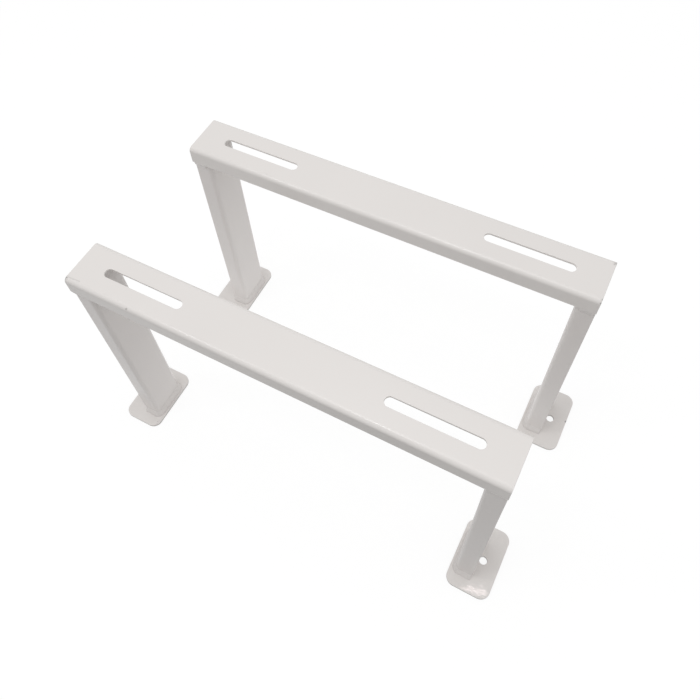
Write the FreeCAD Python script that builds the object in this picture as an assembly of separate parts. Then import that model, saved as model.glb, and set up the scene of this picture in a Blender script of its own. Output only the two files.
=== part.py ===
import FreeCAD
import Part
import os

# Air conditioner floor stand: a pair of welded steel brackets that stand side by side.
# Each bracket is a folded channel rail on two folded channel legs, and each leg has a flat foot plate.
# Millimetres. X runs along the rails, Y from the front bracket to the rear one, Z up from the floor.
# The origin is on the floor, midway between the brackets.

# Stand
stand_height = 300.0
bracket_spacing = 198.0
rear_shift = 10.0

# Folded sheet
sheet = 2.5
bend_inside = 2.5

# Rail: web on top, flanges pointing down, one long bolt slot near each end
rail_length = 450.0
rail_width = 52.0
rail_flange = 20.0
slot_length = 90.0
slot_width = 10.0
slot_end_distance = 31.0

# Leg: web facing the middle of the bracket, flanges pointing out to the rail's end
leg_depth = 20.0
left_leg_inset = 1.5
right_leg_inset = 0.5
leg_clearance = 0.2

# Foot plate
foot_length = 80.0
foot_width = 50.0
foot_thickness = 3.0
foot_corner = 11.0
foot_edge_break = 0.5
foot_margin = 6.0
anchor_hole = 9.0
anchor_setback = 31.0

# Weld beads
lap_bead = 3.0
foot_bead = 3.5
bead_crown = 0.3
bead_end_gap = 0.6

# Worked out from the sizes above
bend_outside = bend_inside + sheet
half_width = rail_width / 2
flange_bottom = stand_height - rail_flange
web_underside = stand_height - sheet
half_leg = half_width - sheet - leg_clearance
bracket_middle = (rail_length + left_leg_inset - right_leg_inset) / 2

cut_overrun = 1.0

x_axis = FreeCAD.Vector(1, 0, 0)
y_axis = FreeCAD.Vector(0, 1, 0)
z_axis = FreeCAD.Vector(0, 0, 1)


def rounded_path(corners, radius):
    """Open path through the corner points, with each inner corner turned on an arc."""
    edges = []
    start = corners[0]
    for before, corner, after in zip(corners, corners[1:], corners[2:]):
        back = (before - corner).normalize()
        ahead = (after - corner).normalize()
        arc_start = corner + back * radius
        arc_end = corner + ahead * radius
        centre = corner + (back + ahead) * radius
        arc_middle = centre - (back + ahead).normalize() * radius
        edges.append(Part.LineSegment(start, arc_start).toShape())
        edges.append(Part.Arc(arc_start, arc_middle, arc_end).toShape())
        start = arc_end
    edges.append(Part.LineSegment(start, corners[-1]).toShape())
    return edges


def channel_section(middle, across, down, width, depth):
    """Face of a folded channel: middle is the centre of the web's outer face."""
    def corners(half, drop):
        return [
            middle - across * half + down * depth,
            middle - across * half + down * drop,
            middle + across * half + down * drop,
            middle + across * half + down * depth,
        ]

    outer = corners(width / 2, 0)
    inner = corners(width / 2 - sheet, sheet)
    edges = rounded_path(outer, bend_outside) + rounded_path(inner, bend_inside)
    edges.append(Part.LineSegment(outer[0], inner[0]).toShape())
    edges.append(Part.LineSegment(outer[-1], inner[-1]).toShape())
    return Part.Face(Part.Wire(Part.sortEdges(edges)[0]))


def obround(centre, length, width):
    """Face of a long slot with round ends, along X."""
    reach = (length - width) / 2
    left = centre - x_axis * reach
    right = centre + x_axis * reach
    side = y_axis * (width / 2)
    edges = [
        Part.LineSegment(left + side, right + side).toShape(),
        Part.Arc(right + side, right + x_axis * (width / 2), right - side).toShape(),
        Part.LineSegment(right - side, left - side).toShape(),
        Part.Arc(left - side, left - x_axis * (width / 2), left + side).toShape(),
    ]
    return Part.Face(Part.Wire(edges))


def make_rail():
    """Inverted channel, square at both ends, with the two bolt slots cut through its web."""
    top = FreeCAD.Vector(0, 0, stand_height)
    section = channel_section(top, y_axis, -z_axis, rail_width, rail_flange)
    rail = section.extrude(x_axis * rail_length)
    middle = slot_end_distance + slot_length / 2
    for x in (middle, rail_length - middle):
        slot = obround(FreeCAD.Vector(x, 0, web_underside - cut_overrun), slot_length, slot_width)
        rail = rail.cut(slot.extrude(z_axis * (sheet + 2 * cut_overrun)))
    return rail


def rail_pocket():
    """Space inside the rail that a leg's top may fill, clear of the flanges and their bends."""
    corners = [
        FreeCAD.Vector(0, -half_leg, 0),
        FreeCAD.Vector(0, -half_leg, web_underside),
        FreeCAD.Vector(0, half_leg, web_underside),
        FreeCAD.Vector(0, half_leg, 0),
    ]
    edges = rounded_path(corners, bend_inside + leg_clearance)
    edges.append(Part.LineSegment(corners[-1], corners[0]).toShape())
    return Part.Face(Part.Wire(edges)).extrude(x_axis * rail_length)


def make_leg(tip, inward):
    """Channel on end, from the foot plate to the underside of the rail's web."""
    web = tip + inward * leg_depth
    foot_top = FreeCAD.Vector(web, 0, foot_thickness)
    section = channel_section(foot_top, y_axis, x_axis * -inward, 2 * half_leg, leg_depth)
    leg = section.extrude(z_axis * (web_underside - foot_thickness))
    return leg.common(rail_pocket())


def make_foot(tip, inward):
    """Flat plate with round corners, and its anchor hole outboard of the leg."""
    inner = tip + inward * (leg_depth + foot_margin)
    outer = inner - inward * foot_width
    corner = FreeCAD.Vector(min(inner, outer), -foot_length / 2, 0)
    plate = Part.makeBox(foot_width, foot_length, foot_thickness, corner)
    upright = [edge for edge in plate.Edges if edge.BoundBox.ZLength > foot_thickness / 2]
    plate = plate.makeFillet(foot_corner, upright)
    rim = [edge for edge in plate.Edges if edge.BoundBox.ZMin > foot_thickness / 2]
    plate = plate.makeChamfer(foot_edge_break, rim)
    centre = FreeCAD.Vector(inner - inward * anchor_setback, 0, -cut_overrun)
    hole = Part.makeCylinder(anchor_hole / 2, foot_thickness + 2 * cut_overrun, centre)
    return plate.cut(hole)


def fillet_bead(corner, along, side_a, side_b):
    """Weld bead in a corner: its two flat sides lie on the pieces, its face is slightly domed."""
    end_a = corner + side_a
    end_b = corner + side_b
    face_out = (side_a + side_b).normalize()
    crest = (end_a + end_b) * 0.5 + face_out * bead_crown
    edges = [
        Part.LineSegment(corner, end_a).toShape(),
        Part.Arc(end_a, crest, end_b).toShape(),
        Part.LineSegment(end_b, corner).toShape(),
    ]
    return Part.Face(Part.Wire(edges)).extrude(along)


def make_lap_weld(tip, inward, side):
    """Bead under the rail's flange edge, on the flat of the leg's flange."""
    start = FreeCAD.Vector(tip + inward * bead_end_gap, side * half_leg, flange_bottom)
    run = leg_depth - bend_outside - bead_end_gap
    step = sheet + leg_clearance
    return fillet_bead(start, x_axis * (inward * run), y_axis * (side * step), -z_axis * lap_bead)


def make_foot_weld(tip, inward, side):
    """Bead on the foot plate along the flat of one of the leg's flanges."""
    start = FreeCAD.Vector(tip + inward * bead_end_gap, side * half_leg, foot_thickness)
    run = leg_depth - bend_outside - bead_end_gap
    return fillet_bead(start, x_axis * (inward * run), y_axis * (side * foot_bead), z_axis * foot_bead)


def make_web_weld(tip, inward):
    """Bead on the foot plate along the flat of the leg's web."""
    reach = half_leg - bend_outside
    start = FreeCAD.Vector(tip + inward * leg_depth, -reach, foot_thickness)
    return fillet_bead(start, y_axis * (2 * reach), x_axis * (inward * foot_bead), z_axis * foot_bead)


def make_bracket():
    """All pieces of one bracket, with its left end at x = 0 and its rail centred on y = 0."""
    pieces = {"rail": make_rail()}
    ends = {
        "left": (left_leg_inset, 1),
        "right": (rail_length - right_leg_inset, -1),
    }
    for end, (tip, inward) in ends.items():
        pieces[f"{end}_leg"] = make_leg(tip, inward)
        pieces[f"{end}_foot"] = make_foot(tip, inward)
        for name, side in (("fore", -1), ("aft", 1)):
            pieces[f"{end}_lap_weld_{name}"] = make_lap_weld(tip, inward, side)
            pieces[f"{end}_foot_weld_{name}"] = make_foot_weld(tip, inward, side)
        pieces[f"{end}_foot_weld_web"] = make_web_weld(tip, inward)
    return pieces


def write_stand():
    """Place the two brackets about the origin and write one file for each piece."""
    os.makedirs("parts", exist_ok=True)
    places = {"front": -1, "rear": 1}
    for bracket, side in places.items():
        x = side * rear_shift / 2 - bracket_middle
        y = side * bracket_spacing / 2
        for name, piece in make_bracket().items():
            placed = piece.copy()
            placed.translate(FreeCAD.Vector(x, y, 0))
            placed.exportStep(f"parts/{bracket}_{name}.step")


write_stand()
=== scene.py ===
import math

import bmesh
import bpy
from mathutils import Euler, Matrix, Vector


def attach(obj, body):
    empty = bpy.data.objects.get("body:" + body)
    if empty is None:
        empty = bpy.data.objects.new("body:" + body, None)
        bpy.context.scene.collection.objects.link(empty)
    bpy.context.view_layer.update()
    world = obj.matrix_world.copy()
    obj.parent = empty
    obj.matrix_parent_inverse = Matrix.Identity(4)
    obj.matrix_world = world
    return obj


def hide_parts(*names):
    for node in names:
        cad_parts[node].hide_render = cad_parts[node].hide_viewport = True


# Air conditioner floor stand, two welded brackets. Metres, Z up, origin on the floor between the brackets.

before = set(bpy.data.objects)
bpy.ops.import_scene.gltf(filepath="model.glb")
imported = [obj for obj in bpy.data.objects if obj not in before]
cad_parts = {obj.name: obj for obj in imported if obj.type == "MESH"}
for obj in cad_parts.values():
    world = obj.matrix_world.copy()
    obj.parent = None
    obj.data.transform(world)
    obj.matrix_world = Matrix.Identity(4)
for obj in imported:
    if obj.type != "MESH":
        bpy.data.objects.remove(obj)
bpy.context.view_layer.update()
print("frame:", len(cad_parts), "CAD nodes")


view = {
    "place": (0.208167, -0.336140, 0.849421),
    "turn": (34.1986, 3.2794, 28.4564),  # degrees
    "lens": 36.943,       # millimetres, as the sensor's width
    "sensor": 36,
    "shift": (0.03272, -0.08725),
    "nearest": 0.01,      # what is closer isn't drawn
}


def makeCamera():
    camera = bpy.data.objects.new("camera", bpy.data.cameras.new("camera"))
    bpy.context.scene.collection.objects.link(camera)
    camera.location = view["place"]
    camera.rotation_euler = Euler([math.radians(a) for a in view["turn"]])
    camera.data.sensor_width = view["sensor"]
    camera.data.lens = view["lens"]
    camera.data.shift_x, camera.data.shift_y = view["shift"]
    camera.data.clip_start = view["nearest"]
    bpy.context.scene.camera = camera


makeCamera()
print("camera placed")


railCoat = {
    "light": (0.800, 0.768, 0.745),
    "dark": (0.788, 0.756, 0.734),
    "cloudSize": 0.09,           # of the slow change between the two
    "gloss": (0.19, 0.22),       # roughness, smoothest and roughest
    "glossSize": 0.03,
    "peelSize": 0.005,
    "peelDepth": 0.000005,
}
legCoat = {
    **railCoat,
    "light": (0.800, 0.766, 0.745),
    "dark": (0.786, 0.750, 0.732),
    "gloss": (0.24, 0.27),       # the denoiser marks places where it crosses 0.274
    "peelDepth": 0.000008,
}
footCoat = {**railCoat, "gloss": (0.28, 0.36), "peelDepth": 0.00002}
lapCoat = {**legCoat, "gloss": (0.34, 0.42)}
# the foot seams' coat is darker than the legs': painted shade that cancels the extra light on the beads'
# upward-sloping faces
seamCoat = {**lapCoat, "light": (0.748, 0.715, 0.695), "dark": (0.735, 0.702, 0.683)}
coatIor = 1.5

# Painted shade near the floor: a painted contact shadow on the plates' lower sides, and painted shade along
# the seams' lower edges, in the crease and over the beads' up-facing slope: heights and how much
dirtColour = (0.36, 0.345, 0.33)
footCoat["dirt"] = {"full": 0.0024, "gone": 0.0030, "share": 0.55}
seamCoat["dirt"] = {"full": 0.0031, "gone": 0.0044, "share": 0.26}

# Bare spots where the coat has chipped, at edges and corners: place, radius, how bare
chips = [
    ((-0.2306, -0.1214, 0.2990), 0.0027, 0.75),
    ((-0.1556, -0.1239, 0.2981), 0.0014, 0.60),
    ((0.2295, 0.0765, 0.2996), 0.0014, 0.60),
    ((0.2290, 0.0735, 0.2975), 0.0010, 0.70),
    ((0.2285, 0.1205, 0.2999), 0.0024, 0.45),
    ((0.2530, 0.1034, 0.0028), 0.0016, 1.00),
    ((-0.1021, 0.0945, 0.2998), 0.0008, 1.00),
    ((-0.2068, -0.1305, 0.0030), 0.0006, 0.80),
]
bareSteel = {"colour": (0.25, 0.24, 0.235), "rough": 0.5, "grain": 0.0007, "ragged": 0.7, "soft": 0.5}

# A thin scratch beside the front rail's left end
scratch = {
    "start": (-0.2290, -0.1205, 0.3000),
    "end": (-0.2148, -0.1196, 0.3000),
    "full": 0.00035,      # distances from its line
    "gone": 0.00105,
    "bare": 0.20,
}

# Scraped patch of bright metal on the front right foot plate: place, radius, how bare
footCoat["specks"] = [
    ((0.2135, -0.1365, 0.0030), 0.0013, 0.8),
    ((0.2167, -0.1357, 0.0030), 0.0016, 0.9),
    ((0.2198, -0.1354, 0.0030), 0.0024, 0.9),
    ((0.2222, -0.1332, 0.0030), 0.0030, 1.0),
    ((0.2258, -0.1334, 0.0030), 0.0036, 1.0),
    ((0.2297, -0.1327, 0.0030), 0.0035, 1.0),
    ((0.2335, -0.1315, 0.0030), 0.0034, 1.0),
    ((0.2368, -0.1300, 0.0030), 0.0028, 1.0),
    ((0.2306, -0.1252, 0.0030), 0.0009, 0.6),
    ((0.2319, -0.1256, 0.0030), 0.0010, 0.8),
    ((0.2335, -0.1257, 0.0030), 0.0011, 0.9),
    ((0.2336, -0.1200, 0.0030), 0.0008, 0.5),
    ((0.2345, -0.0690, 0.0030), 0.0008, 0.5),
]
scrapedSteel = {"colour": (0.80, 0.745, 0.73), "rough": 0.4, "grain": 0.0014, "ragged": 1.2, "soft": 0.2}


# Where most of a noise's values lie, and where nearly all of them do
noiseMiddle = (0.35, 0.65)
noiseWide = (0.3, 0.7)


class Nodes:
    # short hand for building one material's nodes
    def __init__(self, material):
        material.use_nodes = True
        self.tree = material.node_tree
        self.shader = self.tree.nodes["Principled BSDF"]
        self.place = self.tree.nodes.new("ShaderNodeTexCoord").outputs["Object"]

    def plug(self, socket, value):
        if isinstance(value, bpy.types.NodeSocket):
            self.tree.links.new(value, socket)
        else:
            socket.default_value = value

    def noise(self, size, detail):
        node = self.tree.nodes.new("ShaderNodeTexNoise")
        node.inputs["Scale"].default_value = 1 / size
        node.inputs["Detail"].default_value = detail
        self.plug(node.inputs["Vector"], self.place)
        return node.outputs["Fac"]

    def sums(self, operation, a, b, clamp=False):
        node = self.tree.nodes.new("ShaderNodeMath")
        node.operation = operation
        node.use_clamp = clamp
        self.plug(node.inputs[0], a)
        self.plug(node.inputs[1], b)
        return node.outputs[0]

    def spread(self, value, fromLow, fromHigh, toLow, toHigh):
        node = self.tree.nodes.new("ShaderNodeMapRange")
        for socket, number in zip(node.inputs, (value, fromLow, fromHigh, toLow, toHigh)):
            self.plug(socket, number)
        return node.outputs[0]

    def mix(self, share, a, b):
        node = self.tree.nodes.new("ShaderNodeMix")
        node.data_type = "RGBA"
        self.plug(node.inputs["Factor"], share)
        for socket, colour in zip(node.inputs[6:8], (a, b)):    # the two that hold colours
            self.plug(socket, colour)
        return node.outputs[2]

    def vectors(self, operation, *values):
        node = self.tree.nodes.new("ShaderNodeVectorMath")
        node.operation = operation
        for socket, value in zip(node.inputs, values):
            self.plug(socket, value)
        return node

    def distance(self, point):
        return self.vectors("DISTANCE", self.place, point).outputs["Value"]

    def lineDistance(self, start, end):
        # to the nearest place on the stretch between two points
        along = Vector(end) - Vector(start)
        away = self.vectors("SUBTRACT", self.place, start).outputs["Vector"]
        share = self.vectors("DOT_PRODUCT", away, along / along.length_squared).outputs["Value"]
        share = self.sums("ADD", share, 0, clamp=True)
        nearest = self.vectors("MULTIPLY_ADD", share, along, start).outputs["Vector"]
        return self.vectors("DISTANCE", self.place, nearest).outputs["Value"]

    def height(self):
        node = self.tree.nodes.new("ShaderNodeSeparateXYZ")
        self.plug(node.inputs[0], self.place)
        return node.outputs["Z"]

    def bump(self, height, depth):
        node = self.tree.nodes.new("ShaderNodeBump")
        node.inputs["Strength"].default_value = 1.0
        node.inputs["Distance"].default_value = depth
        self.plug(node.inputs["Height"], height)
        return node.outputs["Normal"]


def spots(nodes, places, look):
    # how bare it is: each place's share inside its spot, with a ragged edge, 0 elsewhere
    grain = nodes.noise(look["grain"], detail=3)
    rough = nodes.spread(grain, *noiseWide, 1 - look["ragged"], 1 + look["ragged"])
    mask = 0.0
    for point, radius, share in places:
        reach = nodes.sums("MULTIPLY", rough, radius)
        edge = nodes.sums("SUBTRACT", reach, nodes.distance(point))
        inside = nodes.spread(edge, 0.0, look["soft"] * radius, 0.0, share)
        mask = nodes.sums("MAXIMUM", mask, inside)
    return mask


def coatMaterial(name, coat):
    material = bpy.data.materials.new(name)
    nodes = Nodes(material)
    cloud = nodes.spread(nodes.noise(coat["cloudSize"], detail=3), *noiseMiddle, 0, 1)
    colour = nodes.mix(cloud, (*coat["dark"], 1), (*coat["light"], 1))
    gloss = nodes.spread(nodes.noise(coat["glossSize"], detail=2), *noiseWide, *coat["gloss"])
    # painted shade: the colour darkens towards the floor, standing in for contact and crease shadow
    if "dirt" in coat:
        dirt = coat["dirt"]
        share = nodes.spread(nodes.height(), dirt["full"], dirt["gone"], dirt["share"], 0)
        colour = nodes.mix(share, colour, (*dirtColour, 1))
    if "specks" in coat:
        pale = spots(nodes, coat["specks"], scrapedSteel)
        colour = nodes.mix(pale, colour, (*scrapedSteel["colour"], 1))
        gloss = nodes.spread(pale, 0, 1, gloss, scrapedSteel["rough"])
        nodes.plug(nodes.shader.inputs["Metallic"], pale)
    away = nodes.lineDistance(scratch["start"], scratch["end"])
    scored = nodes.spread(away, scratch["full"], scratch["gone"], scratch["bare"], 0)
    bare = nodes.sums("MAXIMUM", spots(nodes, chips, bareSteel), scored)
    colour = nodes.mix(bare, colour, (*bareSteel["colour"], 1))
    gloss = nodes.spread(bare, 0, 1, gloss, bareSteel["rough"])
    peel = nodes.bump(nodes.noise(coat["peelSize"], detail=1), coat["peelDepth"])
    nodes.plug(nodes.shader.inputs["Base Color"], colour)
    nodes.plug(nodes.shader.inputs["Roughness"], gloss)
    nodes.plug(nodes.shader.inputs["Normal"], peel)
    nodes.plug(nodes.shader.inputs["IOR"], coatIor)
    return material


railMaterial = coatMaterial("railCoat", railCoat)
legMaterial = coatMaterial("legCoat", legCoat)
footMaterial = coatMaterial("footCoat", footCoat)
lapMaterial = coatMaterial("lapCoat", lapCoat)
seamMaterial = coatMaterial("seamCoat", seamCoat)
print("coats mixed")


stand = {
    "spacing": 0.198,
    "reach": 0.224,       # from a bracket's middle to the tip of either leg
    "rearShift": 0.010,
    "top": 0.300,
    "sheet": 0.0025,
    "bend": 0.005,        # outside radius
    "bendSteps": 10,
    "edgeRound": 0.0004,  # how far the coat rounds a cut edge
    "edgeSteps": 3,
    "edgeAngle": 40,      # degrees, from which an edge counts as cut
    "hair": 0.000001,     # places closer than this are one
}


def makeSheet(bm, length, width):
    # a flat rectangle about the origin
    bmesh.ops.create_grid(bm, x_segments=1, y_segments=1, size=0.5)
    bmesh.ops.scale(bm, vec=(length, width, 1), verts=bm.verts[:])


def makeRing(bm, steps, radius):
    return bmesh.ops.create_circle(bm, cap_ends=False, segments=steps, radius=radius)["verts"]


def fillOutlines(bm):
    # one face layer from an outer outline and the holes in it
    bmesh.ops.triangle_fill(bm, use_beauty=True, use_dissolve=False, edges=bm.edges[:], normal=(0, 0, 1))


def sideEdge(bm, y):
    # the one edge that lies at this y
    return next(e for e in bm.edges if all(abs(v.co.y - y) < stand["hair"] for v in e.verts))


def roundEdges(bm):
    limit = math.radians(stand["edgeAngle"])
    cut = [e for e in bm.edges if e.is_manifold and e.calc_face_angle() > limit]
    bmesh.ops.bevel(bm, geom=cut, offset=stand["edgeRound"], offset_type="OFFSET",
                    segments=stand["edgeSteps"], profile=0.5, affect="EDGES", clamp_overlap=True, material=-1)


def foldOver(bm, edge, centre, axis, angle, reach):
    # turns an edge on an arc, then carries it straight on
    turned = bmesh.ops.spin(bm, geom=[*edge.verts, edge], cent=centre, axis=axis, dvec=(0, 0, 0),
                            angle=angle, steps=stand["bendSteps"], use_merge=False)
    last = [g for g in turned["geom_last"] if isinstance(g, bmesh.types.BMEdge)]
    pulled = bmesh.ops.extrude_edge_only(bm, edges=last)
    moved = [g for g in pulled["geom"] if isinstance(g, bmesh.types.BMVert)]
    bmesh.ops.translate(bm, verts=moved, vec=reach)


def giveThickness(bm, thickness):
    bmesh.ops.recalc_face_normals(bm, faces=bm.faces[:])
    bmesh.ops.solidify(bm, geom=bm.faces[:], thickness=thickness)
    bmesh.ops.recalc_face_normals(bm, faces=bm.faces[:])


def finishPiece(name, bm, material, replaced, offset, flip=False):
    if flip:
        bmesh.ops.scale(bm, vec=(-1, 1, 1), verts=bm.verts[:])
    bmesh.ops.translate(bm, vec=offset, verts=bm.verts[:])
    bmesh.ops.remove_doubles(bm, verts=bm.verts[:], dist=2 * stand["hair"])
    bmesh.ops.recalc_face_normals(bm, faces=bm.faces[:])
    for face in bm.faces:
        face.smooth = True
    mesh = bpy.data.meshes.new(name)
    bm.to_mesh(mesh)
    bm.free()
    mesh.materials.append(material)
    piece = bpy.data.objects.new(name, mesh)
    bpy.context.scene.collection.objects.link(piece)
    flats = piece.modifiers.new("flats stay flat", "WEIGHTED_NORMAL")
    flats.keep_sharp = True
    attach(piece, "root")
    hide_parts(*replaced)


rail = {
    "length": 0.450,
    "middle": -0.0005,    # the rail reaches a little further past its left leg
    "width": 0.052,
    "flange": 0.020,
    "slotLength": 0.090,
    "slotWidth": 0.010,
    "slotFromEnd": 0.031,
    "slotSteps": 48,
}


def slotOutline(bm, x, z):
    # a ring, turned by half a step and pulled apart in the middle
    ring = makeRing(bm, rail["slotSteps"], rail["slotWidth"] / 2)
    halfStep = Matrix.Rotation(math.pi / rail["slotSteps"], 3, "Z")
    bmesh.ops.rotate(bm, verts=ring, cent=(0, 0, 0), matrix=halfStep)
    reach = (rail["slotLength"] - rail["slotWidth"]) / 2
    for v in ring:
        v.co.x += math.copysign(reach, v.co.x)
    bmesh.ops.translate(bm, verts=ring, vec=(x, 0, z))


def makeRail(name, offset, replaced):
    bm = bmesh.new()
    flat = rail["width"] / 2 - stand["bend"]
    straight = rail["flange"] - stand["bend"]
    makeSheet(bm, rail["length"], 2 * flat)
    bmesh.ops.translate(bm, vec=(0, 0, stand["top"]), verts=bm.verts[:])
    bmesh.ops.delete(bm, geom=bm.faces[:], context="FACES_ONLY")
    slotX = rail["length"] / 2 - rail["slotFromEnd"] - rail["slotLength"] / 2
    for x in (-slotX, slotX):
        slotOutline(bm, x, stand["top"])
    fillOutlines(bm)
    for side in (-1, 1):
        foldOver(bm, sideEdge(bm, side * flat), (0, side * flat, stand["top"] - stand["bend"]), (1, 0, 0),
                 -side * math.pi / 2, (0, 0, -straight))
    giveThickness(bm, stand["sheet"])
    roundEdges(bm)
    finishPiece(name, bm, railMaterial, replaced, offset)


leg = {
    "depth": 0.020,
    "half": 0.0233,      # half its width, just inside the rail's flanges
    "bottom": 0.003,
    "top": 0.2975,
    "cope": 0.0027,      # radius cut off the top corners to clear the rail's bends
    "copeCuts": (22.5, 45.0, 67.5),    # degrees
}


def copeTop(bm):
    # saws each top corner along planes that touch its radius
    for side in (-1, 1):
        centre = Vector((0, side * (leg["half"] - leg["cope"]), leg["top"] - leg["cope"]))
        for degrees in leg["copeCuts"]:
            cut = math.radians(degrees)
            away = Vector((0, side * math.sin(cut), math.cos(cut)))
            geom = bm.verts[:] + bm.edges[:] + bm.faces[:]
            sawn = bmesh.ops.bisect_plane(bm, geom=geom, dist=stand["hair"] / 10, clear_outer=True,
                                          plane_co=centre + away * leg["cope"], plane_no=away)
            rim = [g for g in sawn["geom_cut"] if isinstance(g, bmesh.types.BMEdge)]
            bmesh.ops.edgeloop_fill(bm, edges=rim)


def makeLeg(name, offset, replaced, flip):
    bm = bmesh.new()
    flat = leg["half"] - stand["bend"]
    straight = leg["depth"] - stand["bend"]
    web = leg["depth"]
    makeSheet(bm, 1, 1)    # gets its size once it stands
    upright = Matrix.Rotation(math.pi / 2, 3, "Y")
    bmesh.ops.rotate(bm, verts=bm.verts[:], cent=(0, 0, 0), matrix=upright)
    bmesh.ops.scale(bm, vec=(1, 2 * flat, leg["top"] - leg["bottom"]), verts=bm.verts[:])
    bmesh.ops.translate(bm, vec=(web, 0, (leg["top"] + leg["bottom"]) / 2), verts=bm.verts[:])
    for side in (-1, 1):
        foldOver(bm, sideEdge(bm, side * flat), (web - stand["bend"], side * flat, 0), (0, 0, 1),
                 side * math.pi / 2, (-straight, 0, 0))
    giveThickness(bm, stand["sheet"])
    copeTop(bm)
    roundEdges(bm)
    finishPiece(name, bm, legMaterial, replaced, offset, flip)


foot = {
    "length": 0.080,
    "width": 0.050,
    "thickness": 0.003,
    "corner": 0.011,
    "cornerSteps": 12,
    "margin": 0.006,       # past the leg's web
    "hole": 0.009,
    "holeSteps": 40,
    "holeSetback": 0.031,  # from the plate's inner edge
}


def makeFoot(name, offset, replaced, flip):
    bm = bmesh.new()
    makeSheet(bm, foot["width"], foot["length"])
    inner = leg["depth"] + foot["margin"]
    bmesh.ops.translate(bm, vec=(inner - foot["width"] / 2, 0, foot["thickness"]), verts=bm.verts[:])
    bmesh.ops.bevel(bm, geom=bm.verts[:], offset=foot["corner"], offset_type="OFFSET",
                    segments=foot["cornerSteps"], profile=0.5, affect="VERTICES", material=-1)
    bmesh.ops.delete(bm, geom=bm.faces[:], context="FACES_ONLY")
    ring = makeRing(bm, foot["holeSteps"], foot["hole"] / 2)
    bmesh.ops.translate(bm, verts=ring, vec=(inner - foot["holeSetback"], 0, foot["thickness"]))
    fillOutlines(bm)
    giveThickness(bm, foot["thickness"])
    roundEdges(bm)
    finishPiece(name, bm, footMaterial, replaced, offset, flip)


seam = {
    "bury": 0.0004,       # how far the bead is fused into what it joins
    "heel": 0.2,          # size of its hidden corner, as a share of the step
    "hollow": (1.6, 1.3),    # exponents that give the face its curve
    "endGap": 0.0002,
    "endRound": 0.0007,
    "ripple": 0.0021,     # length of one ripple
    "rippleDepth": 0.00004,
    "bow": 1.4,           # how much a ripple bends across the face
    "wander": 0.05,       # share by which the bead's size drifts
    "wanderWaves": (310, 730),    # radians per metre
    "stepsPerRipple": 5,
    "fewestSteps": 8,
    "facets": 10,         # across the visible face
    "sharpAngle": 50,     # degrees, from which an edge is shaded sharp
}
footSeam = {
    "height": foot["thickness"],
    "way": 1,             # up the leg
    "rise": 0.0088,
    "step": 0.0036,       # out over the plate
    "cover": 0.0004,
    "phase": 2.3,
}
lapSeam = {
    "height": stand["top"] - rail["flange"],
    "way": -1,            # down the leg from the rail's edge
    "rise": {"front": 0.0065, "rear": 0.0095},
    "step": 0.00275,      # just covers the rail's flange
    "cover": 0.0009,      # how far it runs up over the flange
    "phase": 1.7,
}


def footPath():
    # round the outside of the leg: its length, then the place and the way out of the wall along it
    r, half, web = stand["bend"], leg["half"], leg["depth"]
    side = web - r - seam["endGap"]
    arc = r * math.pi / 2
    front = 2 * (half - r)
    total = 2 * side + 2 * arc + front

    def at(s):
        back = s > total / 2
        d = total - s if back else s
        if d < side:
            place, out = Vector((seam["endGap"] + d, -half, 0)), Vector((0, -1, 0))
        elif d < side + arc:
            turn = (d - side) / r - math.pi / 2
            out = Vector((math.cos(turn), math.sin(turn), 0))
            place = Vector((web - r, r - half, 0)) + out * r
        else:
            place, out = Vector((web, r - half + d - side - arc, 0)), Vector((1, 0, 0))
        if back:
            place.y, out.y = -place.y, -out.y
        return place, out

    return total, at


def lapPath(side):
    total = leg["depth"] - stand["bend"] - seam["endGap"]

    def at(s):
        return Vector((seam["endGap"] + s, side * leg["half"], 0)), Vector((0, side, 0))

    return total, at


def beadFace(bead, s, t, out, full, phase):
    # from the path to the face at s along the bead and t across it, 0 at the edge it starts from
    along = Vector((0, 0, bead["way"]))
    covered = bead["cover"] / bead["rise"]
    past = max(0.0, t - covered) / (1 - covered)
    slow, fast = seam["wanderWaves"]
    drift = seam["wander"] * (math.sin(s * slow + phase) + math.sin(s * fast + 2 * phase)) / 2
    if bead["way"] < 0:
        drift *= past    # a lap seam keeps its size where it meets the rail
    grow = full * (1 + drift)
    lag = s + seam["ripple"] * seam["bow"] * (t - 0.5) ** 2
    ripple = math.sin(2 * math.pi * lag / seam["ripple"] + phase)
    wave = seam["rippleDepth"] * ripple * math.sin(math.pi * t)
    inner, outer = seam["hollow"]
    width = bead["step"] * (1 - past ** inner) ** outer * grow - seam["bury"] * t + wave * full
    return out * width + along * (bead["rise"] * t * grow - bead["cover"] * (1 - t))


def beadHeel(bead, corner, out, full):
    # from the path to the first or second hidden corner
    along = Vector((0, 0, bead["way"]))
    heel = seam["heel"] * bead["step"] * full
    return -(out + along) * seam["bury"] + (along * (3 - corner) + out * (corner - 1)) * heel


def makeBead(name, material, bead, path, offset, replaced, flip, phase):
    # a grid rolled up along the path, then its seam and ends closed
    total, at = path
    rings = max(seam["fewestSteps"], round(total / seam["ripple"] * seam["stepsPerRipple"]))
    around = seam["facets"] + 3
    bm = bmesh.new()
    bmesh.ops.create_grid(bm, x_segments=rings, y_segments=around, size=0.5)
    for v in bm.verts:
        s = (v.co.x + 0.5) * total
        k = round((v.co.y + 0.5) * around) % around
        place, out = at(s)
        toEnd = min(s, total - s)
        full = math.sqrt(max(0.0, 1 - (1 - min(toEnd / seam["endRound"], 1)) ** 2))
        if k <= seam["facets"]:
            spot = beadFace(bead, s, k / seam["facets"], out, full, phase)
        else:
            spot = beadHeel(bead, k - seam["facets"], out, full)
        v.co = place + Vector((0, 0, bead["height"])) + spot
    bmesh.ops.remove_doubles(bm, verts=bm.verts[:], dist=stand["hair"])
    bmesh.ops.holes_fill(bm, edges=[e for e in bm.edges if e.is_boundary], sides=0)
    for edge in bm.edges:
        edge.smooth = edge.calc_face_angle(0) < math.radians(seam["sharpAngle"])
    finishPiece(name, bm, material, replaced, offset, flip)


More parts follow.
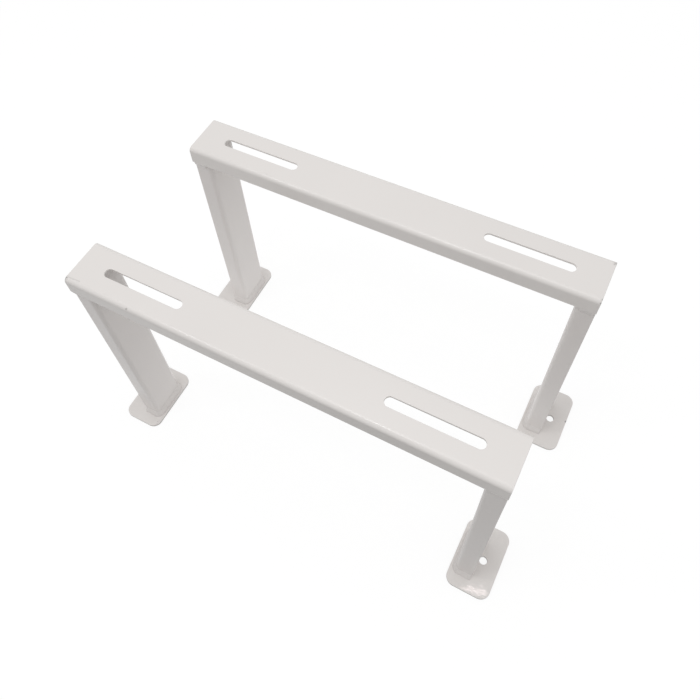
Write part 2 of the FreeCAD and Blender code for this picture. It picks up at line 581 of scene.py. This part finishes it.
def makeBracket(bracket, side):
    centre = Vector((side * stand["rearShift"] / 2, side * stand["spacing"] / 2, 0))
    makeRail(bracket + "Rail", centre + Vector((rail["middle"], 0, 0)), [bracket + "_rail"])
    lap = {**lapSeam, "rise": lapSeam["rise"][bracket]}
    for end, way in (("left", -1), ("right", 1)):
        tip = centre + Vector((way * stand["reach"], 0, 0))
        flip = way > 0
        node = bracket + "_" + end
        label = bracket + end.capitalize()
        makeLeg(label + "Leg", tip, [node + "_leg"], flip)
        makeFoot(label + "Foot", tip, [node + "_foot"], flip)
        welds = [node + "_foot_weld_" + part for part in ("fore", "web", "aft")]
        phase = side + footSeam["phase"] * way    # so that no two seams ripple alike
        makeBead(label + "FootSeam", seamMaterial, footSeam, footPath(), tip, welds, flip, phase)
        for part, face in (("fore", -1), ("aft", 1)):
            phase = face + lap["phase"] * way + side
            makeBead(label + "LapSeam" + part.capitalize(), lapMaterial, lap, lapPath(face), tip,
                     [node + "_lap_weld_" + part], flip, phase)
    print(bracket, "bracket built")


makeBracket("front", -1)
makeBracket("rear", 1)


floor = {
    "side": 8.0,
    "gap": 0.0001,                 # keeps it apart from the plates' undersides
    "near": (0.97, 0.96, 0.95),    # what it throws back on the stand, close by and far off
    "far": (0.28, 0.275, 0.27),
    "middle": (-0.15, 0.45, 0.0),
    "fade": (0.49, 0.77),          # distances from its middle
    "seenShade": 0.16,             # how much of the shadow is seen
    "seenGlow": 0.87,
    "mirrorDim": 0.26,             # how much dimmer its far parts look in the coat's gloss
    "patch": (0.05, -0.33, 0.0),   # a dim place in the gloss, on the camera's side
    "patchReach": (0.10, 0.34),
    "patchDim": 0.35,
}


def floorMaterial():
    # the stand gets the light of a floor that darkens far off, the camera and the gloss see a pale one
    material = bpy.data.materials.new("paleFloor")
    nodes = Nodes(material)
    nodes.tree.nodes.remove(nodes.shader)
    bounce = nodes.tree.nodes.new("ShaderNodeBsdfDiffuse")
    shade = nodes.tree.nodes.new("ShaderNodeBsdfDiffuse")
    glow = nodes.tree.nodes.new("ShaderNodeEmission")
    seen = nodes.tree.nodes.new("ShaderNodeAddShader")
    pick = nodes.tree.nodes.new("ShaderNodeMixShader")
    ray = nodes.tree.nodes.new("ShaderNodeLightPath").outputs

    far = nodes.spread(nodes.distance(floor["middle"]), *floor["fade"], 0, 1)
    patch = nodes.spread(nodes.distance(floor["patch"]), *floor["patchReach"], floor["patchDim"], 0)
    dim = nodes.sums("ADD", nodes.sums("MULTIPLY", far, floor["mirrorDim"]), patch)
    dim = nodes.sums("MULTIPLY", dim, ray["Is Glossy Ray"])

    nodes.plug(bounce.inputs["Color"], nodes.mix(far, (*floor["near"], 1), (*floor["far"], 1)))
    nodes.plug(shade.inputs["Color"], (*[floor["seenShade"]] * 3, 1))
    nodes.plug(glow.inputs["Strength"], nodes.sums("SUBTRACT", floor["seenGlow"], dim))
    nodes.plug(seen.inputs[0], shade.outputs[0])
    nodes.plug(seen.inputs[1], glow.outputs[0])
    nodes.plug(pick.inputs[0], nodes.sums("MAXIMUM", ray["Is Camera Ray"], ray["Is Glossy Ray"]))
    nodes.plug(pick.inputs[1], bounce.outputs[0])
    nodes.plug(pick.inputs[2], seen.outputs[0])
    nodes.plug(nodes.tree.nodes["Material Output"].inputs["Surface"], pick.outputs[0])
    return material


def makeFloor():
    bm = bmesh.new()
    makeSheet(bm, floor["side"], floor["side"])
    bmesh.ops.translate(bm, vec=(0, 0, -floor["gap"]), verts=bm.verts[:])
    mesh = bpy.data.meshes.new("floor")
    bm.to_mesh(mesh)
    bm.free()
    mesh.materials.append(floorMaterial())
    ground = bpy.data.objects.new("floor", mesh)
    bpy.context.scene.collection.objects.link(ground)


world = {"fill": 0.708, "seen": 1.0}    # as light, and as the camera and the gloss see it


def makeWorld():
    sky = bpy.data.worlds.new("studio")
    bpy.context.scene.world = sky
    sky.use_nodes = True
    tree = sky.node_tree
    air = tree.nodes["Background"]
    ray = tree.nodes.new("ShaderNodeLightPath")
    seen = tree.nodes.new("ShaderNodeMath")
    seen.operation = "MAXIMUM"
    tree.links.new(ray.outputs["Is Camera Ray"], seen.inputs[0])
    tree.links.new(ray.outputs["Is Glossy Ray"], seen.inputs[1])
    level = tree.nodes.new("ShaderNodeMapRange")
    level.inputs["To Min"].default_value = world["fill"]
    level.inputs["To Max"].default_value = world["seen"]
    tree.links.new(seen.outputs[0], level.inputs["Value"])
    tree.links.new(level.outputs[0], air.inputs["Strength"])
    air.inputs["Color"].default_value = (1, 1, 1, 1)


# Discs that face the rails, the last two for the short highlights on the bends
lampAim = Vector((0, 0, 0.3))
lamps = {
    "overhead": {"place": (0.0, -0.1, 2.5), "size": 2.2, "power": 6.6},
    "low": {"place": (0.0, -0.06, 1.15), "size": 0.50, "power": 0.40},
    "glintLeft": {"place": (-0.70, -0.50, 1.54), "size": 0.10, "power": 0.95},
    "glintRight": {"place": (-0.12, -0.41, 1.55), "size": 0.10, "power": 0.80},
}


def makeLamps():
    for name, lamp in lamps.items():
        light = bpy.data.lights.new(name, "AREA")
        light.shape = "DISK"
        light.size = lamp["size"]
        light.energy = lamp["power"]
        holder = bpy.data.objects.new(name, light)
        bpy.context.scene.collection.objects.link(holder)
        holder.location = lamp["place"]
        away = lampAim - Vector(lamp["place"])
        holder.rotation_euler = away.to_track_quat("-Z", "Y").to_euler()


makeFloor()
makeWorld()
makeLamps()
bpy.context.scene.view_settings.view_transform = "Standard"
print("floor and light set")
